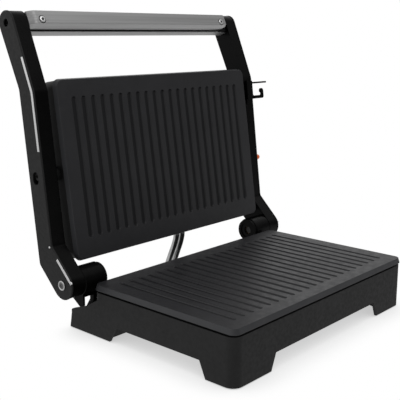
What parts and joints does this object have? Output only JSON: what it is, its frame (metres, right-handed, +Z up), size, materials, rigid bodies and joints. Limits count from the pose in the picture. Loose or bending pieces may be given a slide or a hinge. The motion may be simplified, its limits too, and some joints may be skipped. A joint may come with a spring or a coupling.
{
  "type": "panini press",
  "caption": "Open sandwich press: ribbed grill plates, a lid that floats between two bent arms, a metal handle bar and a sliding side latch; the arms swing down on hinge barrels",
  "frame": {"origin": "centre of the bounding box in plan, on the table under the feet", "axes": "+X to the press's right as its user faces it, +Y to the back where the hinge is, +Z up"},
  "size_m": [0.35, 0.2749, 0.3073],
  "materials": {
    "black_textured": "fine black texture",
    "black_gloss": "gloss black",
    "black_hidden": "plain black",
    "plate_coating": "dark non-stick coating on cast aluminium",
    "satin_aluminium": "satin",
    "trim_silver": "bright silver",
    "steel": "plain steel",
    "element_steel": "heat-darkened sheath",
    "reflector": "bright sheet",
    "rubber": "matt black",
    "lens_red": "red lens",
    "conduit_silver": "dull silver hose",
    "bronze": "sintered bronze",
    "ceramic": "pale terminal block"
  },
  "bodies": {
    "base": {"base_housing": "black_textured", "base_bottom_plate": "black_hidden", "rubber_foot_front_left": "rubber", "rubber_foot_front_right": "rubber", "rubber_foot_rear_left": "rubber", "rubber_foot_rear_right": "rubber", "terminal_block": "ceramic", "mains_gland": "black_hidden", "conduit_gland_base_a": "black_hidden", "conduit_gland_base_b": "black_hidden", "lower_grill_plate": "plate_coating", "lower_heating_element": "element_steel", "lower_heat_reflector": "reflector", "lower_thermostat": "steel", "hinge_barrel_left": "black_gloss", "hinge_barrel_right": "black_gloss", "hinge_bracket_left": "black_gloss", "hinge_bracket_right": "black_gloss", "hinge_bush_left": "bronze", "hinge_bush_right": "bronze", "hinge_pin_left": "steel", "hinge_pin_right": "steel", "hinge_cap_left": "black_gloss", "hinge_cap_right": "black_gloss", "conduit_a": "conduit_silver", "conduit_b": "conduit_silver"},
    "yoke": {"hinge_bolt_left": "steel", "hinge_bolt_right": "steel", "arm_body_left": "black_gloss", "arm_body_right": "black_gloss", "arm_cover_left": "black_textured", "arm_cover_right": "black_textured", "arm_trim_upper_left": "trim_silver", "arm_trim_upper_right": "trim_silver", "arm_trim_lower_left": "trim_silver", "arm_trim_lower_right": "trim_silver", "lid_pivot_pin_left": "steel", "lid_pivot_pin_right": "steel", "handle_bolt_left": "steel", "handle_bolt_right": "steel", "handle_screw_left": "steel", "handle_screw_right": "steel", "handle_core": "black_gloss", "handle_front_cover": "satin_aluminium", "handle_rear_cover": "satin_aluminium", "pilot_light": "lens_red", "latch_guide": "black_gloss"},
    "lid": {"lid_housing": "black_textured", "upper_grill_plate": "plate_coating", "upper_heating_element": "element_steel", "upper_heat_reflector": "reflector", "upper_thermostat": "steel", "lid_pivot_spacer_left": "black_hidden", "lid_pivot_spacer_right": "black_hidden", "conduit_gland_lid_a": "black_hidden", "conduit_gland_lid_b": "black_hidden"},
    "latch": {"latch_slider": "black_gloss"}
  },
  "joints": [
    {"name": "yoke_hinge", "type": "hinge", "parent": "base", "child": "yoke", "pos_m": [-0.0116, 0.0561, 0.0528], "axis": [1, 0, 0], "range_deg": [0, 94.6], "deforming": ["conduit_a", "conduit_b"]},
    {"name": "lid_float", "type": "hinge", "parent": "yoke", "child": "lid", "pos_m": [-0.0116, 0.09018, 0.15313], "axis": [1, 0, 0], "range_deg": [0, 7]},
    {"name": "latch_slide", "type": "slide", "parent": "yoke", "child": "latch", "axis": [0, -0.1198, -0.9928], "range_m": [0, 0.006]}
  ]
}
